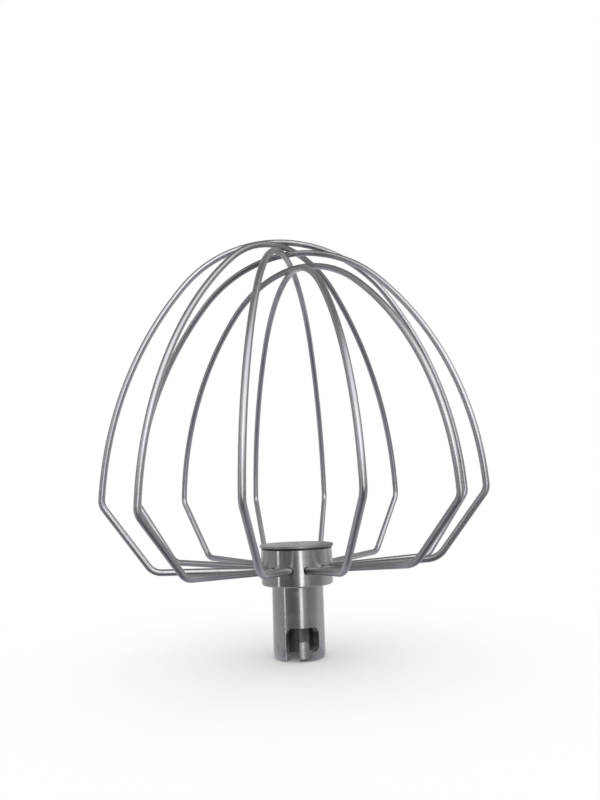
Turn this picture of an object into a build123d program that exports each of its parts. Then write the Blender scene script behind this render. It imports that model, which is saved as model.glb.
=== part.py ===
from build123d import *
from math import atan2, cos, degrees, radians, sin, tan
import os

# Wire whisk of a stand mixer, in millimetres, standing on the open end of its drive shaft.
# The origin is the centre of that end, +Z points at the crown of the wires,
# and the mouth of the bayonet slot is on the -Y side.
# Turns about Z are in degrees from -Y towards +X.

# Drive shaft and its bayonet slot
bore_d = 12.8  # slides over a half-inch mixer shaft
shaft_wall = 3.6
shaft_length = 27.0  # open end to the underside of the head
bore_overrun = 1.0  # the bore ends this far inside the head
shaft_end_radius = 1.2
bore_mouth_chamfer = 0.5
slot_width = 5.0  # takes the mixer's cross pin
slot_top = 12.0  # above the open end
pocket_bottom = 3.2  # lower end of the pocket, above the open end
slot_turn = 48.0  # from the entry round to the pocket

# Wire and its hooked ends
wire_d = 2.5
wire_hole_clearance = 0.2  # all round the wire
hook_spacing = 0.6  # clear gap between the two closest hooks
hook_clearance = 0.15  # hooks to the cup wall and to the plug stem
hook_tail = 3.9  # end of a hook past its bend

# Head and cap
head_wall = 3.7
web_thickness = 2.6  # between the end of the bore and the floor of the cup
wire_floor_gap = 0.75  # floor of the cup to the underside of the hooks
hook_headroom = 0.4  # tops of the hooks to the register of the cap
head_chamfer = 0.5
seam_chamfer = 0.6  # opens the seam under the rim of the cap
register_depth = 1.6
register_clearance = 0.02
stem_floor_gap = 0.1
cap_overhang = 0.5
cap_thickness = 1.1
cap_edge_chamfer = 0.25
centre_mark_d = 1.6
centre_mark_depth = 0.6

# Balloon of wires, to the corners of the wire's centre line and up from the corner of its hooks
foot_radius = 54.8
foot_rise = 2.2  # the runs from the head climb this much
foot_bend_radius = 5.0
cage_radius = 73.7
shoulder_rise = 27.3
shoulder_bend_radius = 5.5
shoulder_lean_angle = 2.5  # how far the wires lean inwards above the shoulder bends
spring_straight = 1.0  # straight wire between the shoulder bend and the arch
crown_rise = 134.5  # crown of the uppermost loop

# The loops from the uppermost down, each bent a little differently
loop_steps = (-2, -1, 3, 0, 2, 1)  # even steps round the hub, the slot being step 0
loop_swing_angles = (-3.2, 3.3, -5.8, 3.2, 0.8, 0.6)  # how far each loop sits off its even step
crown_gaps = (0.2, 0.2, 0.2, 2.0, 0.2)  # clear gap from each loop down to the next
crown_radii = (54.5, 46.5, 53.5, 60.5, 54.0, 60.5)
near_foot_lifts = (-0.8, -0.2, 1.8, 1.6, 1.8, 1.4)  # foot on the slot's side, above the far foot
near_shoulder_drops = (0.4, 3.5, -0.8, 1.0, 1.5, -0.6)  # shoulder there, below the far shoulder
cut_margin = 1.0  # how far a cutter runs past the metal

# Worked out from the sizes above
loop_pitch = 180.0 / len(loop_steps)
loop_turns = [step * loop_pitch + swing for step, swing in zip(loop_steps, loop_swing_angles)]
places = sorted(turn % 180.0 for turn in loop_turns)
closest_pitch = min(b - a for a, b in zip(places, places[1:] + [places[0] + 180.0]))
wire_r = wire_d / 2
hook_bend_radius = wire_d
hook_ring_r = (wire_d + hook_spacing) / (2 * sin(radians(closest_pitch) / 2))
cup_r = hook_ring_r + hook_bend_radius + hook_clearance
head_r = cup_r + head_wall
stem_r = hook_ring_r - wire_r - hook_clearance
cap_r = head_r + cap_overhang
bore_r = bore_d / 2
shaft_r = bore_r + shaft_wall
bore_end_z = shaft_length + bore_overrun
cup_floor_z = bore_end_z + web_thickness
hook_z = cup_floor_z + wire_floor_gap + wire_r
register_z = hook_z + hook_bend_radius + hook_tail + hook_headroom
head_top_z = register_z + register_depth
cap_top_z = head_top_z + cap_thickness
near_foot_rises = [foot_rise + lift for lift in near_foot_lifts]
near_shoulder_rises = [shoulder_rise - drop for drop in near_shoulder_drops]


def outward(turn):
    """Unit vector that points away from the axis at a turn about Z."""
    return Vector(sin(radians(turn)), -cos(radians(turn)), 0)


def facing_plane(turn, height, radius=0.0, slope_angle=0.0):
    """Plane that faces outwards at a turn, tilted up by a slope, with its own X level."""
    facing = outward(turn) * cos(radians(slope_angle)) + Vector(0, 0, sin(radians(slope_angle)))
    origin = outward(turn) * radius + Vector(0, 0, height)
    return Plane(origin=origin, x_dir=outward(turn + 90), z_dir=facing)


def radial_plane(turn, height):
    """Plane through the axis whose own X runs outwards at a turn, with its own Y pointing up."""
    return Plane(origin=(0, 0, height), x_dir=outward(turn), z_dir=outward(turn - 90))


os.makedirs("parts", exist_ok=True)

# Hub: drive shaft and head, turned in one piece
with BuildPart() as hub_shaft:
    with BuildSketch(Plane.XZ) as hub_profile:
        with BuildLine():
            Polyline(
                (bore_r + bore_mouth_chamfer, 0),
                (shaft_r, 0),
                (shaft_r, shaft_length),
                (head_r - head_chamfer, shaft_length),
                (head_r, shaft_length + head_chamfer),
                (head_r, head_top_z - seam_chamfer),
                (head_r - seam_chamfer, head_top_z),
                (cup_r, head_top_z),
                (cup_r, cup_floor_z),
                (0, cup_floor_z),
                (0, bore_end_z),
                (bore_r, bore_end_z),
                (bore_r, bore_mouth_chamfer),
                close=True,
            )
        make_face()
        shaft_end = hub_profile.vertices().group_by(Axis.Y)[0].sort_by(Axis.X)[-1]
        fillet(shaft_end, radius=shaft_end_radius)
    revolve(axis=Axis.Z)

    # Entry and pocket of the slot, each milled radially through one wall with a round-ended cutter
    for turn, lower_end in ((0.0, -slot_width), (slot_turn, pocket_bottom)):
        with BuildSketch(facing_plane(turn, (slot_top + lower_end) / 2)):
            SlotOverall(slot_top - lower_end, slot_width, rotation=90)
        extrude(amount=shaft_r + cut_margin, mode=Mode.SUBTRACT)

    # Bridge of the slot, from the entry round to the pocket
    with BuildSketch(Plane.YZ):
        with Locations((-(bore_r + shaft_r) / 2, slot_top - slot_width / 2)):
            Rectangle(shaft_wall + 2 * cut_margin, slot_width)
    revolve(axis=Axis.Z, revolution_arc=slot_turn, mode=Mode.SUBTRACT)

    # Wire holes, drilled through the wall of the cup along the slope of each wire
    for turn, near_foot_rise in zip(loop_turns, near_foot_rises):
        for leg_turn, leg_rise in ((turn, near_foot_rise), (turn + 180, foot_rise)):
            slope_angle = degrees(atan2(leg_rise, foot_radius - hook_ring_r))
            with BuildSketch(facing_plane(leg_turn, hook_z, hook_ring_r, slope_angle)):
                Circle(wire_r + wire_hole_clearance)
            extrude(amount=head_r - hook_ring_r + cut_margin, mode=Mode.SUBTRACT)
hub_shaft.part.label = "hub_shaft"
export_step(hub_shaft.part, "parts/hub_shaft.step")

# Cap: rim on the head, register in the mouth of the cup and stem inside the ring of hooks
with BuildPart() as cap_plug:
    with BuildSketch(Plane.XZ):
        with BuildLine():
            Polyline(
                (0, cup_floor_z + stem_floor_gap),
                (stem_r, cup_floor_z + stem_floor_gap),
                (stem_r, register_z),
                (cup_r - register_clearance, register_z),
                (cup_r - register_clearance, head_top_z),
                (cap_r - cap_edge_chamfer, head_top_z),
                (cap_r, head_top_z + cap_edge_chamfer),
                (cap_r, cap_top_z - cap_edge_chamfer),
                (cap_r - cap_edge_chamfer, cap_top_z),
                (centre_mark_d / 2, cap_top_z),
                (0, cap_top_z - centre_mark_depth),
                close=True,
            )
        make_face()
    revolve(axis=Axis.Z)
cap_plug.part.label = "cap_plug"
export_step(cap_plug.part, "parts/cap_plug.step")

# Wire loops: on either side a hooked end, a run to the foot, a slanting run and half an arch.
# Each half arch is a side arc that springs from the leaning wire and a crown arc that meets it smoothly.
lean = radians(shoulder_lean_angle)
loop_crown = crown_rise
loops = zip(loop_turns, crown_radii, near_foot_rises, near_shoulder_rises)
for number, (turn, crown_radius, near_foot_rise, near_shoulder_rise) in enumerate(loops, start=1):
    if number > 1:
        loop_crown -= wire_d + crown_gaps[number - 2]
    crown_centre_z = loop_crown - crown_radius
    near_leg = (turn, near_foot_rise, near_shoulder_rise)
    far_leg = (turn + 180, foot_rise, shoulder_rise)

    with BuildPart() as wire_loop:
        with BuildLine() as route:
            for leg_turn, foot_z, shoulder_z in (near_leg, far_leg):
                slant = atan2(shoulder_z - foot_z, cage_radius - foot_radius)
                bend_length = shoulder_bend_radius * tan((radians(90) + lean - slant) / 2)
                spring_length = bend_length + spring_straight
                spring_r = cage_radius - spring_length * sin(lean)
                spring_z = shoulder_z + spring_length * cos(lean)
                lift = crown_centre_z - spring_z
                side_radius = (spring_r**2 + lift**2 - crown_radius**2) / (
                    2 * (spring_r * cos(lean) - lift * sin(lean) - crown_radius)
                )
                side_centre_r = spring_r - side_radius * cos(lean)
                side_centre_z = spring_z - side_radius * sin(lean)
                join_angle = degrees(atan2(crown_centre_z - side_centre_z, -side_centre_r))
                with BuildLine(radial_plane(leg_turn, hook_z)):
                    FilletPolyline(
                        (hook_ring_r, hook_bend_radius + hook_tail),
                        (hook_ring_r, 0),
                        (foot_radius, foot_z),
                        (cage_radius, shoulder_z),
                        (spring_r, spring_z),
                        radius=(hook_bend_radius, foot_bend_radius, shoulder_bend_radius),
                    )
                    CenterArc(
                        (side_centre_r, side_centre_z),
                        side_radius,
                        shoulder_lean_angle,
                        join_angle - shoulder_lean_angle,
                    )
                    CenterArc((0, crown_centre_z), crown_radius, join_angle, 90 - join_angle)
        with BuildSketch(Plane(origin=route.wire() @ 0, z_dir=route.wire() % 0)):
            Circle(wire_r)
        sweep(path=route.wire())
    node = f"wire_loop_{number}"
    wire_loop.part.label = node
    export_step(wire_loop.part, f"parts/{node}.step")
    print(node, "route", round(route.wire().length, 2), "volume", round(wire_loop.part.volume, 1))
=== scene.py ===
from math import cos, pi, radians, sin

import bmesh
import bpy
from mathutils import Matrix, Vector


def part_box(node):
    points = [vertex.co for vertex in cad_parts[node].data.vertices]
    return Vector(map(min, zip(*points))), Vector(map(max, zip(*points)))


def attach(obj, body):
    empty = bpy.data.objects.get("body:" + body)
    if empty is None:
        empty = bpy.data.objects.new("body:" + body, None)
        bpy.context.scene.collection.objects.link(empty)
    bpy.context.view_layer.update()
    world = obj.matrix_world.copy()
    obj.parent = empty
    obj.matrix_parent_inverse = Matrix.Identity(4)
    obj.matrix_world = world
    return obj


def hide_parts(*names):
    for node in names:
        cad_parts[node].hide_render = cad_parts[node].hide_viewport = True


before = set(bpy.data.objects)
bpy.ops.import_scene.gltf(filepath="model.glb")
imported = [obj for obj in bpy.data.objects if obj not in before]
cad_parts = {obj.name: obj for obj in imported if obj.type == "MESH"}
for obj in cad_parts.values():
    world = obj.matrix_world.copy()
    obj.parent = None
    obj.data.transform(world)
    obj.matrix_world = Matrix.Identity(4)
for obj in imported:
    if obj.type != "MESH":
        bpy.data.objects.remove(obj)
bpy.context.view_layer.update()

# Wire whisk of a stand mixer, in metres, standing on the open end of its drive shaft.
# Turns about Z are in degrees from -Y towards +X, as in the part's source.
MM = 0.001

# Drive shaft and head
SHAFT_R = 10.0 * MM
SHAFT_LENGTH = 27.0 * MM
HEAD_TOP = 41.0 * MM
SLOT_TURN = 24.0  # middle of the slot

# Wire and its bends, to the corners of the wire's centre line and up from the corner of its hooks
WIRE_D = 2.5 * MM
HOOK_LEVEL = 32.6 * MM
HOOK_RING_R = 7.643 * MM
HOOK_BEND_R = 2.5 * MM
HOOK_TAIL = 3.9 * MM
FOOT_R = 54.8 * MM
FOOT_RISE = 2.2 * MM
FOOT_BEND_R = 5.0 * MM
CAGE_R = 73.7 * MM
SHOULDER_RISE = 27.3 * MM
SHOULDER_BEND_R = 5.5 * MM
SHOULDER_LEAN = 2.5
SPRING_STRAIGHT = 1.0 * MM
LOOPS = {
    # node: turn about Z, radius of the crown, lift of the near foot, how much wider its bend is,
    # drop of the near shoulder
    "wire_loop_1": (-63.2, 54.5 * MM, -0.8 * MM, 1.5 * MM, 0.4 * MM),
    "wire_loop_2": (-26.7, 46.5 * MM, -0.2 * MM, 1.0 * MM, 3.5 * MM),
    "wire_loop_3": (84.2, 53.5 * MM, 1.8 * MM, 3.5 * MM, -0.8 * MM),
    "wire_loop_4": (3.2, 60.5 * MM, 1.6 * MM, 6.0 * MM, 1.0 * MM),
    "wire_loop_5": (60.8, 54.0 * MM, 1.8 * MM, 3.5 * MM, 1.5 * MM),
    "wire_loop_6": (30.6, 60.5 * MM, 1.4 * MM, 6.0 * MM, -0.6 * MM),
}
STEPS_ALONG = 400  # from the crown to either end of a wire
SIDES_ROUND = 20
WIRE_INPUTS = {
    # kind of socket: names of the bending tree's inputs
    "NodeSocketFloat": (
        "Wire Diameter",
        "Hook Level",
        "Crown Rise",
        "Cage Radius",
        "Crown Radius",
        "Shoulder Rise",
        "Shoulder Bend Radius",
        "Spring Straight",
        "Near Shoulder Drop",
        "Foot Radius",
        "Foot Rise",
        "Foot Bend Radius",
        "Near Foot Lift",
        "Near Foot Ease",
        "Hook Ring Radius",
        "Hook Bend Radius",
        "Hook Tail",
        "Turn",
        "Shoulder Lean",
    ),
    "NodeSocketInt": ("Steps Along", "Sides Round"),
    "NodeSocketMaterial": ("Finish",),
}

# Marks on the metal, and painted light and shade, from where each starts to show to where it is full.
# A height is above the open end, a reach is from the axis, and a side is how far towards a turn.
# painted shade on the wire near the hub, in patches
WIRE_SHADE_REACH = (36.0 * MM, 12.0 * MM)
# painted shade on the level runs near the head, on the slot's side
RUN_SHADE_HEIGHT = (44.0 * MM, 38.0 * MM)
RUN_SHADE_REACH = (53.0 * MM, 43.0 * MM)
RUN_SHADE_SIDE = (6.0 * MM, 18.0 * MM)  # towards the slot
# painted shade inside the bore, mottled, and darkest on its far wall
BORE_REACH = (SHAFT_R - 0.1 * MM, SHAFT_R - 0.9 * MM)
BORE_HEIGHT = (SHAFT_LENGTH + 4.0 * MM, SHAFT_LENGTH)
# painted light: a bright band on the bore's far wall, painted in place of light seen there
LIT_BAND_TURN = 176.0  # middle of the bright band in the bore, across from the slot's entry
LIT_BAND_HALF_WIDTH = (2.3 * MM, 1.7 * MM)
LIT_BAND_SIDE = (3.0 * MM, 4.0 * MM)
# painted shade on the bore's far wall, beside the bright band
FAR_WALL_SHADE_SIDE = (1.0 * MM, 3.0 * MM)  # towards the bright band
MOTTLE_SIDE = (4.0 * MM, 8.0 * MM)  # towards the slot
# darker and bluer towards the open end, in smudges and in a mottle beside the slot
LOW_DARKENING_HEIGHT = (10.0 * MM, 3.0 * MM)
# painted shadow along the top of the hub, just under the cap
SEAM_HEIGHT = (HEAD_TOP - 0.9 * MM, HEAD_TOP - 0.2 * MM)
# painted shadow along the cap's lower edge, over the hub
CAP_UNDERSIDE_HEIGHT = (HEAD_TOP + 0.35 * MM, HEAD_TOP + 0.05 * MM)
# darker round the cap's rim
CAP_RIM_HEIGHT = (HEAD_TOP + 1.05 * MM, HEAD_TOP + 0.75 * MM)
# painted shade on one side of the cap
CAP_SHADE_TURN = 105.0
CAP_SHADE_SIDE = (1.0 * MM, 15.0 * MM)
CENTRE_MARK_REACH = (1.5 * MM, 0.9 * MM)

# Grain that drawing and turning leave in the metal
WIRE_STREAK_DEPTH = 0.003 * MM
HUB_RING_DEPTH = 0.002 * MM
CAP_RING_DEPTH = 0.003 * MM
STREAK_SQUEEZE = 0.035  # of the noise's place along the wire, which makes long streaks of it
RING_GRAIN_TURN = 0.25  # a quarter turn, so that reflections stretch across the rings

# Tints of the steel, of what lies on it and of painted shade
NEUTRAL = (1.0, 1.0, 1.0)
WIRE_TINT = (0.98, 0.99, 1.06)
BRIGHT_WIRE_TINT = (1.0, 1.0, 1.03)
DARK_STEEL_TINT = (0.97, 0.99, 1.05)
TURNED_TINT = (1.0, 0.99, 0.98)
SMUDGE_TINT = (1.0, 0.99, 0.97)
LOW_DARKENING_TINT = (0.9, 1.0, 1.18)
# tint of the painted shade on the bore's far wall
FAR_WALL_SHADE_TINT = (0.98, 0.98, 1.06)
# colour of the wire's dark specks and of its painted shade
SPECK_AND_SHADE_TINT = (1.0, 0.98, 0.95)
# tint of the cap's dark marks and of its painted shadow
MARK_AND_SHADE_TINT = (1.0, 0.97, 0.95)
TABLE_TINT = (0.965, 0.985, 1.055)

# Room that the metal mirrors. Turns are degrees round to the right from the camera, shares are parts of
# a full turn away from it, and heights are sines of the angle above the level.
ROOM_WALLS = (
    # turn, brightness at the level of the hub
    (-180.0, 1.0),
    (-158.0, 1.0),
    (-146.0, 0.55),
    (-88.0, 0.28),
    (-74.0, 0.24),
    (-55.0, 0.1),
    (-14.0, 0.05),
    (-2.0, 0.15),
    (10.0, 0.7),
    (22.0, 0.75),
    (45.0, 0.17),
    (75.0, 0.15),
    (105.0, 0.55),
    (146.0, 0.6),
    (158.0, 1.0),
    (180.0, 1.0),
)
WALL_FOOT = (-0.08, -0.3)
WALL_TOP = (-0.02, 0.2)
SIDE_CEILING = (0.38, 0.13)  # brightness above the walls, and overhead
SIDE_CEILING_HEIGHT = (0.6, 0.93)
FRONT_CEILING = (0.48, 0.16)  # the same on the camera's side
FRONT_CEILING_HEIGHT = (0.78, 0.97)
FRONT_CEILING_SHARE = (0.2, 0.08)
NEAR_TABLE = (0.12, 0.46)  # brightness on the camera's side, and away from it
NEAR_TABLE_SHARE = (0.06, 0.32)
FAR_TABLE = (0.17, 0.6)
FAR_TABLE_SHARE = (0.07, 0.24)
FAR_TABLE_HEIGHT = (-0.75, -0.3)
WINDOW_TURN = 26.0
WINDOW_RISE = 32.0
WINDOW_EDGE = (0.4, 0.97)  # cosine of the angle from its middle
WINDOW_TOP = (0.98, 0.72)
WINDOW_SILL = (0.1, 0.36)
WINDOW_BRIGHTNESS = 1.6
NARROW_STRIP_TURN = -61.0
WIDE_STRIP_TURN = 14.0
STRIP_SHINES = (
    # turn of a strip light, half the width of its shine on the table in degrees
    (NARROW_STRIP_TURN, 1.6),
    (WIDE_STRIP_TURN, 6.0),
)
STRIP_SHINE_HEIGHT = (-0.42, -0.3)

# Soft boxes, in metres
LAMPS = {
    # name: turn from the camera, distance, height, width, length, brightness, height that it faces
    "overhead_box": (-150.0, 0.5, 1.3, 1.2, 1.2, 0.1, 0.08),
    "narrow_strip": (NARROW_STRIP_TURN, 0.9, 0.25, 0.05, 0.8, 2.4, 0.2),
    "wide_strip": (WIDE_STRIP_TURN, 1.0, 0.25, 0.2, 0.7, 2.1, 0.2),
}

# Floor, in metres
FLOOR_R = 3.0
FLOOR_SIDES = 96
FLOOR_DROP = 0.05 * MM  # keeps it just clear of the open end
FLOOR_FADE_REACH = (0.02, 0.18)  # from shaded paper to plain white

# Camera, as the photograph was taken
CAMERA_TURN = 14.99
CAMERA_DISTANCE = 253.67 * MM
CAMERA_HEIGHT = 58.99 * MM
CAMERA_PITCH = 9.03
CAMERA_YAW = 0.76
CAMERA_ROLL = -1.93
CAMERA_LENS = 28.335
SENSOR_WIDTH = 36.0
CLIP_START = 0.01
CLIP_END = 20.0


def outward(turn):
    """Unit vector that points away from the axis at a turn about Z."""
    return Vector((sin(radians(turn)), -cos(radians(turn)), 0.0))


def turn_share(turn):
    """A turn from -180 to 180 degrees as a number from 0 to 1."""
    return turn / 360.0 + 0.5


def find(sockets, key):
    """A node's socket by its number, its identifier or its name."""
    if isinstance(key, int):
        return sockets[key]
    for socket in sockets:
        if socket.identifier == key and socket.enabled:
            return socket
    for socket in sockets:
        if socket.name == key and socket.enabled:
            return socket
    raise KeyError(key)


class Socket:
    """An output in a node tree. Arithmetic on it adds Math nodes."""

    def __init__(self, tree, link):
        self.tree = tree
        self.link = link

    def out(self, key):
        """Another output of the same node."""
        return Socket(self.tree, find(self.link.node.outputs, key))

    def __add__(self, other):
        return self.tree.math("ADD", self, other)

    def __radd__(self, other):
        return self.tree.math("ADD", other, self)

    def __sub__(self, other):
        return self.tree.math("SUBTRACT", self, other)

    def __rsub__(self, other):
        return self.tree.math("SUBTRACT", other, self)

    def __mul__(self, other):
        return self.tree.math("MULTIPLY", self, other)

    def __rmul__(self, other):
        return self.tree.math("MULTIPLY", other, self)

    def __truediv__(self, other):
        return self.tree.math("DIVIDE", self, other)

    def __rtruediv__(self, other):
        return self.tree.math("DIVIDE", other, self)

    def __pow__(self, other):
        return self.tree.math("POWER", self, other)

    def __rpow__(self, other):
        return self.tree.math("POWER", other, self)

    def __abs__(self):
        return self.tree.math("ABSOLUTE", self)


class Tree:
    """Adds nodes to one node tree."""

    def __init__(self, tree):
        self.tree = tree

    def node(self, kind, settings=None, sockets=None, out=0):
        """Adds a node, sets it up, fills its sockets with values or links, and gives one output."""
        made = self.tree.nodes.new(kind)
        for name, value in (settings or {}).items():
            if name == "stops":
                ramp = made.color_ramp
                while len(ramp.elements) < len(value):
                    ramp.elements.new(1.0)
                for stop, (position, colour) in zip(ramp.elements, value):
                    stop.position = position
                    stop.color = colour
            else:
                setattr(made, name, value)
        for key, value in (sockets or {}).items():
            target = find(made.inputs, key)
            if isinstance(value, Socket):
                self.tree.links.new(value.link, target)
            else:
                target.default_value = value
        return Socket(self, find(made.outputs, out)) if len(made.outputs) else None

    def math(self, operation, *values):
        """A Math node on values or links."""
        return self.node("ShaderNodeMath", {"operation": operation}, dict(enumerate(values)))

    def smooth(self, value, low, high):
        """Rises smoothly from 0 at low to 1 at high, or falls where high is the lower."""
        return self.node(
            "ShaderNodeMapRange",
            {"interpolation_type": "SMOOTHSTEP"},
            {"Value": value, "From Min": low, "From Max": high},
        )

    def vector(self, operation, *values):
        """A Vector Math node on vectors or links."""
        return self.node("ShaderNodeVectorMath", {"operation": operation}, dict(enumerate(values)))

    def combine(self, x, y, z):
        """A vector from its three parts."""
        return self.node("ShaderNodeCombineXYZ", None, {"X": x, "Y": y, "Z": z})

    def mix(self, mask, first, second):
        """The first colour where the mask is 0 and the second where it is 1."""
        return self.node(
            "ShaderNodeMix",
            {"data_type": "RGBA"},
            {"Factor_Float": mask, "A_Color": first, "B_Color": second},
            "Result_Color",
        )

    def noise(self, place, scale, detail=2.0, roughness=0.5):
        """Cloudy noise about 0.5, at a number of blotches to the metre."""
        return self.node(
            "ShaderNodeTexNoise",
            {"noise_dimensions": "3D"},
            {"Vector": place, "Scale": scale, "Detail": detail, "Roughness": roughness},
            "Fac",
        )

    def towards(self, place, turn):
        """How far a place lies towards a turn about Z."""
        return self.vector("DOT_PRODUCT", place, outward(turn)).out("Value")

    def from_axis(self):
        """A place on the piece, its height and its distance from the axis."""
        place = self.node("ShaderNodeTexCoord", None, None, "Object")
        height = self.node("ShaderNodeSeparateXYZ", None, {"Vector": place}, "Z")
        radius = self.vector("LENGTH", self.vector("MULTIPLY", place, (1.0, 1.0, 0.0))).out("Value")
        return place, height, radius


def grey(level, tint=NEUTRAL):
    """A grey of a level, tinted."""
    return (level * tint[0], level * tint[1], level * tint[2], 1.0)


def new_material(name):
    """An empty material and its tree."""
    material = bpy.data.materials.new(name)
    material.use_nodes = True
    material.node_tree.nodes.clear()
    return material, Tree(material.node_tree)


def finish_metal(tree, colour, roughness, height, bump_depth, anisotropy=0.0):
    """Bare metal from its colour, its roughness and the height of its surface marks.

    Anisotropy is how far the rings that a lathe leaves round the axis stretch reflections.
    """
    normal = tree.node(
        "ShaderNodeBump",
        None,
        {"Strength": 1.0, "Distance": bump_depth, "Height": height},
    )
    surface = tree.node(
        "ShaderNodeBsdfPrincipled",
        None,
        {
            "Base Color": colour,
            "Metallic": 1.0,
            "Roughness": roughness,
            "Anisotropic": anisotropy,
            "Anisotropic Rotation": RING_GRAIN_TURN,
            "Normal": normal,
        },
    )
    tree.node("ShaderNodeOutputMaterial", None, {"Surface": surface})


def drawn_wire_steel():
    """Wire finish: streaks from drawing, dull patches, specks, rubbed bends, and painted shade near the
    hub and on the level runs.
    """
    material, tree = new_material("drawn_wire_steel")
    drawn = tree.node("ShaderNodeAttribute", {"attribute_name": "drawn"}, None, "Vector")
    bend = tree.node("ShaderNodeAttribute", {"attribute_name": "bend"}, None, "Fac")
    place, height, radius = tree.from_axis()
    streak_place = tree.vector("MULTIPLY", drawn, (1.0, 1.0, STREAK_SQUEEZE))
    streaks = tree.noise(streak_place, scale=2600.0, detail=3.0, roughness=0.6)
    patches = tree.noise(place, scale=90.0, detail=3.0, roughness=0.55)
    specks = tree.smooth(tree.noise(place, scale=900.0), 0.66, 0.78)
    rubbed = bend * tree.smooth(streaks, 0.35, 0.7)
    # painted shade on the wire near the hub, in patches
    painted_shade = tree.smooth(radius, *WIRE_SHADE_REACH) * tree.smooth(patches, 0.3, 0.6)
    # painted shade on the level runs near the head, on the slot's side
    level_run = tree.smooth(height, *RUN_SHADE_HEIGHT) * tree.smooth(radius, *RUN_SHADE_REACH)
    painted_run_shade = level_run * tree.smooth(tree.towards(place, SLOT_TURN), *RUN_SHADE_SIDE)
    clean = tree.mix(patches, grey(0.5, WIRE_TINT), grey(0.6, BRIGHT_WIRE_TINT))
    streaked = tree.mix(tree.smooth(streaks, 0.62, 0.3) * 0.35, clean, grey(0.36, DARK_STEEL_TINT))
    # dark specks, and painted shade near the hub and on the level runs
    specks_and_shade = specks * 0.4 + painted_shade * 0.5 + painted_run_shade * 0.45
    marked = tree.mix(specks_and_shade, streaked, grey(0.2, SPECK_AND_SHADE_TINT))
    roughness = 0.24 + patches * 0.1 + streaks * 0.05 + rubbed * 0.1
    finish_metal(tree, marked, roughness, streaks, WIRE_STREAK_DEPTH)
    return material


def turned_steel():
    """Hub finish: rings from turning, smudges, a darker and bluer lower end, painted shadow under the
    cap, mottled painted shade in the bore and a painted bright band on its far wall.
    """
    material, tree = new_material("turned_steel")
    place, height, radius = tree.from_axis()
    ring_place = tree.combine(radius * 0.9, 0.0, height)
    fine_rings = tree.noise(ring_place, scale=5200.0, roughness=0.6)
    broad_rings = tree.noise(ring_place, scale=700.0)
    smudges = tree.smooth(tree.noise(place, scale=130.0, detail=4.0, roughness=0.6), 0.45, 0.75)
    # inside of the bore, where shade is painted
    inside = tree.smooth(radius, *BORE_REACH) * tree.smooth(height, *BORE_HEIGHT)
    # painted shadow along the top of the hub, just under the cap
    painted_seam_shadow = tree.smooth(height, *SEAM_HEIGHT)
    opposite = tree.towards(place, LIT_BAND_TURN)
    aside = abs(tree.towards(place, LIT_BAND_TURN + 90.0))
    # painted light: bright band on the bore's far wall
    painted_light_band = tree.smooth(aside, *LIT_BAND_HALF_WIDTH) * tree.smooth(opposite, *LIT_BAND_SIDE)
    mottle = tree.smooth(tree.noise(place, scale=800.0, detail=3.0, roughness=0.6), 0.42, 0.6)
    slot_mottle = mottle * tree.smooth(tree.towards(place, SLOT_TURN), *MOTTLE_SIDE)
    # darker and bluer towards the open end, in smudges and in a mottle beside the slot
    low_darkening = tree.smooth(height, *LOW_DARKENING_HEIGHT) * tree.math("MAXIMUM", smudges, slot_mottle)
    clean = tree.mix(broad_rings, grey(0.48, TURNED_TINT), grey(0.56))
    dulled = tree.mix(smudges * 0.25, clean, grey(0.38, SMUDGE_TINT))
    darkened = tree.mix(low_darkening * 0.55, dulled, grey(0.24, LOW_DARKENING_TINT))
    # mottled painted shade in the bore
    mottled_bore_shade = tree.mix(
        tree.noise(place, scale=700.0),
        grey(0.22, DARK_STEEL_TINT),
        grey(0.5, DARK_STEEL_TINT),
    )
    # darkest on the bore's far wall: painted shade
    painted_shade = tree.mix(tree.smooth(opposite, *FAR_WALL_SHADE_SIDE), mottled_bore_shade, grey(0.15, FAR_WALL_SHADE_TINT))
    # painted shade in the bore and along the top of the hub
    with_shade_and_marks = tree.mix(inside * 0.92 + painted_seam_shadow * 0.45, darkened, painted_shade)
    # painted light: bright band on the bore's far wall
    with_painted_light_band = tree.mix(painted_light_band * inside, with_shade_and_marks, grey(0.76))
    roughness = 0.17 + fine_rings * 0.06 + smudges * 0.1 + inside * 0.35 + painted_seam_shadow * 0.15
    finish_metal(tree, with_painted_light_band, roughness, fine_rings + broad_rings * 2.0, HUB_RING_DEPTH, anisotropy=0.8)
    return material


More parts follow.
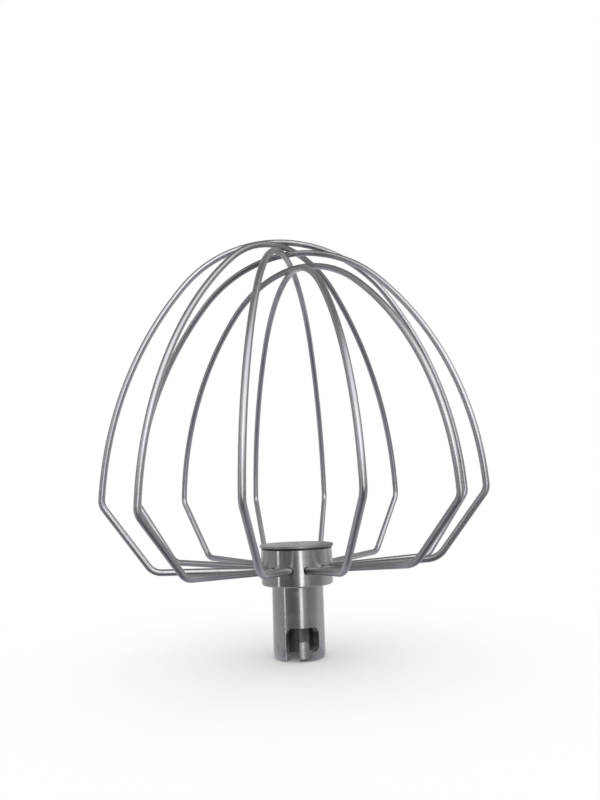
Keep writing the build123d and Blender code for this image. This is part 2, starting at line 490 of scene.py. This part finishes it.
def faced_steel():
    """Cap finish: rings from facing, smudges, a darker rim, painted shade on one side, painted shadow
    along its lower edge and a dark centre mark.
    """
    material, tree = new_material("faced_steel")
    place, height, radius = tree.from_axis()
    ring_place = tree.combine(radius, 0.0, height * 0.5)
    fine_rings = tree.noise(ring_place, scale=4200.0, roughness=0.6)
    broad_rings = tree.noise(ring_place, scale=900.0)
    smudges = tree.smooth(tree.noise(place, scale=160.0, detail=4.0, roughness=0.6), 0.4, 0.72)
    # painted shadow along the cap's lower edge
    painted_underside_shadow = tree.smooth(height, *CAP_UNDERSIDE_HEIGHT)
    centre_mark = tree.smooth(radius, *CENTRE_MARK_REACH)
    # painted shade on one side of the cap
    painted_side_shade = tree.smooth(tree.towards(place, CAP_SHADE_TURN), *CAP_SHADE_SIDE)
    # darker round the rim, except on the shaded side
    darker_rim = tree.smooth(height, *CAP_RIM_HEIGHT) * (1.0 - painted_side_shade)
    clean = tree.mix(broad_rings, grey(0.64, TURNED_TINT), grey(0.74))
    dulled = tree.mix(smudges * 0.4, clean, grey(0.4, SMUDGE_TINT))
    # painted shade on one side of the cap
    darkened = tree.mix(painted_side_shade * 0.75, dulled, grey(0.2, SMUDGE_TINT))
    # painted shadow along the lower edge, a dark centre mark and a darker rim
    marks_and_shade = painted_underside_shadow * 0.6 + centre_mark * 0.8 + darker_rim * 0.38
    with_shade_and_marks = tree.mix(marks_and_shade, darkened, grey(0.08, MARK_AND_SHADE_TINT))
    roughness = 0.3 + fine_rings * 0.08 + smudges * 0.12
    finish_metal(tree, with_shade_and_marks, roughness, fine_rings + broad_rings * 2.0, CAP_RING_DEPTH, anisotropy=0.5)
    return material


def bent_wire_tree():
    """Geometry Nodes tree that bends one straight wire into a loop, as a wire bending machine does.

    Going out from the crown, the wire's direction turns by each bend over that bend's own length.
    Adding up short steps in that direction gives the wire's centre line.
    """
    group = bpy.data.node_groups.new("bent_wire_loop", "GeometryNodeTree")
    keys = {}
    for kind, names in WIRE_INPUTS.items():
        for name in names:
            keys[name] = group.interface.new_socket(name, in_out="INPUT", socket_type=kind).identifier
    group.interface.new_socket("Wire", in_out="OUTPUT", socket_type="NodeSocketGeometry")
    tree = Tree(group)
    given = tree.node("NodeGroupInput")
    crown_rise = given.out("Crown Rise")
    crown_radius = given.out("Crown Radius")
    cage = given.out("Cage Radius")
    foot = given.out("Foot Radius")
    lean = given.out("Shoulder Lean")
    shoulder_bend = given.out("Shoulder Bend Radius")
    hook_ring = given.out("Hook Ring Radius")
    hook_bend = given.out("Hook Bend Radius")
    steps = given.out("Steps Along")

    # The far half of the wire comes first, then the near half, on the slot's side
    index = tree.node("GeometryNodeInputIndex")
    near_half = tree.math("GREATER_THAN", index + 0.5, steps)
    shoulder = given.out("Shoulder Rise") - given.out("Near Shoulder Drop") * near_half
    foot_rise = given.out("Foot Rise") + given.out("Near Foot Lift") * near_half
    foot_bend = given.out("Foot Bend Radius") + given.out("Near Foot Ease") * near_half

    # Turns of the bends, and how much of the straight runs each bend takes up
    slant = tree.math("ARCTAN2", shoulder - foot_rise, cage - foot)
    slope = tree.math("ARCTAN2", foot_rise, foot - hook_ring)
    shoulder_turn = pi / 2 + lean - slant
    foot_turn = slant - slope
    hook_turn = pi / 2 + slope
    shoulder_setback = shoulder_bend * tree.math("TANGENT", shoulder_turn / 2.0)
    foot_setback = foot_bend * tree.math("TANGENT", foot_turn / 2.0)
    hook_setback = hook_bend * tree.math("TANGENT", hook_turn / 2.0)

    # Side arc that springs from the leaning wire, and crown arc that meets it smoothly
    sine = tree.math("SINE", lean)
    cosine = tree.math("COSINE", lean)
    spring_length = shoulder_setback + given.out("Spring Straight")
    spring_r = cage - spring_length * sine
    spring_z = shoulder + spring_length * cosine
    lift = crown_rise - crown_radius - spring_z
    side_radius = (spring_r * spring_r + lift * lift - crown_radius * crown_radius) / (
        2.0 * (spring_r * cosine - lift * sine - crown_radius)
    )
    join = tree.math("ARCTAN2", lift + side_radius * sine, side_radius * cosine - spring_r)

    slant_length = tree.math("SQRT", (cage - foot) ** 2.0 + (shoulder - foot_rise) ** 2.0)
    slant_run = slant_length - shoulder_setback - foot_setback
    head_length = tree.math("SQRT", (foot - hook_ring) ** 2.0 + foot_rise**2.0)
    head_run = head_length - foot_setback - hook_setback
    hook_height = hook_bend + given.out("Hook Tail")

    # Straight run before each bend, the bend's turn and its radius, going out from the crown
    route = (
        (None, pi / 2 - join, crown_radius),
        (None, join - lean, side_radius),
        (given.out("Spring Straight"), shoulder_turn, shoulder_bend),
        (slant_run, foot_turn, foot_bend),
        (head_run, hook_turn, hook_bend),
    )
    bends = []
    reached = None
    for run, turn, radius in route:
        length = radius * turn
        start = reached if run is None else reached + run
        bends.append((start, length, turn))
        reached = length if start is None else start + length
    half_length = reached + hook_height - hook_setback

    # Direction of the wire half way along each short step
    step_length = half_length / steps
    step_middle = (index + 0.5 - steps) * step_length
    side = tree.math("SIGN", step_middle)
    gone = abs(step_middle)
    heading = None
    for start, length, turn in bends:
        into = gone if start is None else gone - start
        share = tree.node(
            "ShaderNodeMapRange",
            None,
            {"Value": into, "From Min": 0.0, "From Max": length},
        )
        turned = share * turn
        heading = turned if heading is None else heading + turned
    step = tree.combine(
        tree.math("COSINE", heading) * step_length,
        0.0,
        tree.math("SINE", heading) * side * step_length * -1.0,
    )
    summed = tree.node(
        "GeometryNodeAccumulateField",
        {"data_type": "FLOAT_VECTOR", "domain": "POINT"},
        {"Value": step},
        "Trailing",
    )
    reach = tree.node("ShaderNodeSeparateXYZ", None, {"Vector": summed}, "X")
    rise = reach.out("Z")
    span = tree.node("ShaderNodeSeparateXYZ", None, {"Vector": summed.out("Total")}, "X")
    across = reach - span / 2.0
    loop_turn = given.out("Turn")
    place = tree.combine(
        across * tree.math("SINE", loop_turn),
        across * tree.math("COSINE", loop_turn) * -1.0,
        rise + given.out("Hook Level") + hook_height,
    )

    # Place along the straight wire, and how near the shoulder or foot bend is
    along = (index - steps) * step_length
    distance = abs(along)
    _, _, shoulder_place, foot_place, _ = bends
    near_bends = []
    for start, length, _ in (shoulder_place, foot_place):
        off = abs(distance - start - length / 2.0)
        near_bends.append(tree.smooth(off, length * 1.2, length * 0.3))
    near_bend = tree.math("MAXIMUM", *near_bends)

    points = tree.node("GeometryNodeMeshLine", {"mode": "OFFSET"}, {"Count": steps * 2.0 + 1.0})
    bent = tree.node("GeometryNodeSetPosition", None, {"Geometry": points, "Position": place})
    for name, value in (("along", along), ("bend", near_bend)):
        bent = tree.node(
            "GeometryNodeStoreNamedAttribute",
            {"data_type": "FLOAT", "domain": "POINT"},
            {"Geometry": bent, "Name": name, "Value": value},
        )
    centre_line = tree.node("GeometryNodeMeshToCurve", None, {"Mesh": bent})
    wire_radius = given.out("Wire Diameter") / 2.0
    circle = tree.node(
        "GeometryNodeCurvePrimitiveCircle",
        {"mode": "RADIUS"},
        {"Resolution": given.out("Sides Round"), "Radius": wire_radius},
    )
    section_angle = index * (2 * pi) / given.out("Sides Round")
    section = tree.node(
        "GeometryNodeStoreNamedAttribute",
        {"data_type": "FLOAT_VECTOR", "domain": "POINT"},
        {
            "Geometry": circle,
            "Name": "round",
            "Value": tree.combine(
                tree.math("COSINE", section_angle) * wire_radius,
                tree.math("SINE", section_angle) * wire_radius,
                0.0,
            ),
        },
    )
    tube = tree.node(
        "GeometryNodeCurveToMesh",
        None,
        {"Curve": centre_line, "Profile Curve": section, "Fill Caps": True},
    )
    along_tube = tree.node("GeometryNodeInputNamedAttribute", {"data_type": "FLOAT"}, {"Name": "along"})
    round_tube = tree.node(
        "GeometryNodeInputNamedAttribute",
        {"data_type": "FLOAT_VECTOR"},
        {"Name": "round"},
    )
    drawn = tree.vector("ADD", round_tube, tree.combine(0.0, 0.0, along_tube))
    streaked_tube = tree.node(
        "GeometryNodeStoreNamedAttribute",
        {"data_type": "FLOAT_VECTOR", "domain": "POINT"},
        {"Geometry": tube, "Name": "drawn", "Value": drawn},
    )
    smooth = tree.node(
        "GeometryNodeSetShadeSmooth",
        None,
        {"Geometry": streaked_tube, "Shade Smooth": True},
    )
    real = tree.node("GeometryNodeRealizeInstances", None, {"Geometry": smooth})
    finish = given.out("Finish")
    finished = tree.node("GeometryNodeSetMaterial", None, {"Geometry": real, "Material": finish})
    tree.node("NodeGroupOutput", None, {"Wire": finished})
    return group, keys


def bent_wire(name, group, keys, sizes):
    """One wire loop as a plain mesh, made by the tree from its sizes."""
    maker = bpy.data.objects.new(name + "_maker", bpy.data.meshes.new(name + "_maker"))
    bpy.context.scene.collection.objects.link(maker)
    modifier = maker.modifiers.new("bend", "NODES")
    modifier.node_group = group
    for size, value in sizes.items():
        modifier[keys[size]] = value
    depsgraph = bpy.context.evaluated_depsgraph_get()
    mesh = bpy.data.meshes.new_from_object(maker.evaluated_get(depsgraph))
    bpy.data.objects.remove(maker)
    mesh.name = name
    wire = bpy.data.objects.new(name, mesh)
    bpy.context.scene.collection.objects.link(wire)
    return wire


def area_lamp(name, turn, distance, height, width, length, brightness, aim):
    """A soft box at a turn about Z, turned to face a point on the axis."""
    data = bpy.data.lights.new(name, "AREA")
    data.shape = "RECTANGLE"
    data.size = width
    data.size_y = length
    data.energy = brightness * pi * width * length
    lamp = bpy.data.objects.new(name, data)
    lamp.location = outward(turn) * distance + Vector((0.0, 0.0, height))
    aimed = Vector((0.0, 0.0, aim)) - lamp.location
    lamp.rotation_euler = aimed.to_track_quat("-Z", "Y").to_euler()
    bpy.context.scene.collection.objects.link(lamp)


def studio_world():
    """White backdrop, and for glossy rays the dim room that the metal mirrors in front of it."""
    world = bpy.data.worlds.new("studio")
    world.use_nodes = True
    world.node_tree.nodes.clear()
    tree = Tree(world.node_tree)
    ray = tree.node("ShaderNodeTexCoord", None, None, "Generated")
    front = tree.towards(ray, CAMERA_TURN)
    right = tree.towards(ray, CAMERA_TURN + 90.0)
    up = tree.node("ShaderNodeSeparateXYZ", None, {"Vector": ray}, "Z")
    round_share = tree.math("ARCTAN2", right, front) / (2 * pi) + 0.5
    away = abs(round_share - 0.5)
    walls = tree.node(
        "ShaderNodeValToRGB",
        {"stops": [(turn_share(turn), grey(level)) for turn, level in ROOM_WALLS]},
        {"Fac": round_share},
    )
    window = outward(CAMERA_TURN + WINDOW_TURN) * cos(radians(WINDOW_RISE))
    window.z = sin(radians(WINDOW_RISE))
    pane = tree.smooth(tree.vector("DOT_PRODUCT", ray, window).out("Value"), *WINDOW_EDGE)
    daylight = pane * tree.smooth(up, *WINDOW_TOP) * tree.smooth(up, *WINDOW_SILL)
    side_ceiling = tree.mix(tree.smooth(up, *SIDE_CEILING_HEIGHT), *map(grey, SIDE_CEILING))
    front_ceiling = tree.mix(tree.smooth(up, *FRONT_CEILING_HEIGHT), *map(grey, FRONT_CEILING))
    ceiling = tree.mix(tree.smooth(away, *FRONT_CEILING_SHARE), side_ceiling, front_ceiling)
    upper = tree.mix(daylight, ceiling, grey(WINDOW_BRIGHTNESS))
    near_tones = [grey(level, TABLE_TINT) for level in NEAR_TABLE]
    far_tones = [grey(level, TABLE_TINT) for level in FAR_TABLE]
    near_table = tree.mix(tree.smooth(away, *NEAR_TABLE_SHARE), *near_tones)
    far_table = tree.mix(tree.smooth(away, *FAR_TABLE_SHARE), *far_tones)
    table = tree.mix(tree.smooth(up, *FAR_TABLE_HEIGHT), near_table, far_table)
    for turn, half_width in STRIP_SHINES:
        off = abs(round_share - turn_share(turn)) * 360.0
        strip = tree.smooth(off, half_width * 1.3, half_width * 0.7)
        table = tree.mix(strip * tree.smooth(up, *STRIP_SHINE_HEIGHT), table, grey(1.0))
    lower = tree.mix(tree.smooth(up, *WALL_FOOT), walls, table)
    room = tree.mix(tree.smooth(up, *WALL_TOP), lower, upper)
    glossy = tree.node("ShaderNodeLightPath", None, None, "Is Glossy Ray")
    colour = tree.mix(glossy, grey(1.0), room)
    background = tree.node("ShaderNodeBackground", None, {"Color": colour, "Strength": 1.0})
    tree.node("ShaderNodeOutputWorld", None, {"Surface": background})
    bpy.context.scene.world = world


def pale_floor():
    """A pale floor that fades into the white backdrop."""
    material, tree = new_material("pale_floor")
    place = tree.node("ShaderNodeTexCoord", None, None, "Object")
    mottle = tree.noise(place, scale=30.0, detail=3.0)
    radius = tree.vector("LENGTH", place).out("Value")
    colour = tree.mix(mottle, grey(0.97), grey(0.99))
    paper = tree.node("ShaderNodeBsdfDiffuse", None, {"Color": colour})
    white = tree.node("ShaderNodeEmission", None, {"Color": grey(1.0), "Strength": 1.0})
    fade = tree.smooth(radius, *FLOOR_FADE_REACH)
    both = tree.node("ShaderNodeMixShader", None, {0: fade, 1: paper, 2: white})
    tree.node("ShaderNodeOutputMaterial", None, {"Surface": both})
    shape = bmesh.new()
    bmesh.ops.create_circle(shape, cap_ends=True, segments=FLOOR_SIDES, radius=FLOOR_R)
    mesh = bpy.data.meshes.new("floor")
    shape.to_mesh(mesh)
    shape.free()
    mesh.materials.append(material)
    floor = bpy.data.objects.new("floor", mesh)
    floor.location.z = -FLOOR_DROP
    floor.visible_glossy = False
    bpy.context.scene.collection.objects.link(floor)


def photograph_camera():
    """The camera at the photograph's place and angle."""
    data = bpy.data.cameras.new("camera")
    data.sensor_width = SENSOR_WIDTH
    data.lens = CAMERA_LENS
    data.clip_start = CLIP_START
    data.clip_end = CLIP_END
    camera = bpy.data.objects.new("camera", data)
    bpy.context.scene.collection.objects.link(camera)
    place = outward(CAMERA_TURN) * CAMERA_DISTANCE + Vector((0.0, 0.0, CAMERA_HEIGHT))
    heading = (
        Matrix.Rotation(radians(CAMERA_TURN - CAMERA_YAW), 4, "Z")
        @ Matrix.Rotation(radians(90.0 + CAMERA_PITCH), 4, "X")
        @ Matrix.Rotation(radians(CAMERA_ROLL), 4, "Z")
    )
    camera.matrix_world = Matrix.Translation(place) @ heading
    bpy.context.scene.camera = camera


# Pieces
hub_finish = turned_steel()
cap_finish = faced_steel()
wire_finish = drawn_wire_steel()
for node, finish in (("hub_shaft", hub_finish), ("cap_plug", cap_finish)):
    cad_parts[node].data.materials.clear()
    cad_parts[node].data.materials.append(finish)

wire_group, wire_keys = bent_wire_tree()
for node, (turn, crown_radius, foot_lift, foot_ease, shoulder_drop) in LOOPS.items():
    _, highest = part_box(node)
    wire = bent_wire(
        node.replace("wire_loop", "bent_wire"),
        wire_group,
        wire_keys,
        {
            "Wire Diameter": WIRE_D,
            "Hook Level": HOOK_LEVEL,
            "Crown Rise": highest[2] - WIRE_D / 2 - HOOK_LEVEL,
            "Crown Radius": crown_radius,
            "Cage Radius": CAGE_R,
            "Shoulder Rise": SHOULDER_RISE,
            "Near Shoulder Drop": shoulder_drop,
            "Shoulder Bend Radius": SHOULDER_BEND_R,
            "Spring Straight": SPRING_STRAIGHT,
            "Foot Radius": FOOT_R,
            "Foot Rise": FOOT_RISE,
            "Foot Bend Radius": FOOT_BEND_R,
            "Near Foot Lift": foot_lift,
            "Near Foot Ease": foot_ease,
            "Hook Ring Radius": HOOK_RING_R,
            "Hook Bend Radius": HOOK_BEND_R,
            "Hook Tail": HOOK_TAIL,
            "Turn": radians(turn),
            "Shoulder Lean": radians(SHOULDER_LEAN),
            "Steps Along": STEPS_ALONG,
            "Sides Round": SIDES_ROUND,
            "Finish": wire_finish,
        },
    )
    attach(wire, "root")
    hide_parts(node)

# Studio
studio_world()
pale_floor()
photograph_camera()
for name, (turn, distance, height, width, length, brightness, aim) in LAMPS.items():
    area_lamp(name, CAMERA_TURN + turn, distance, height, width, length, brightness, aim)

bpy.context.scene.view_settings.view_transform = "Standard"
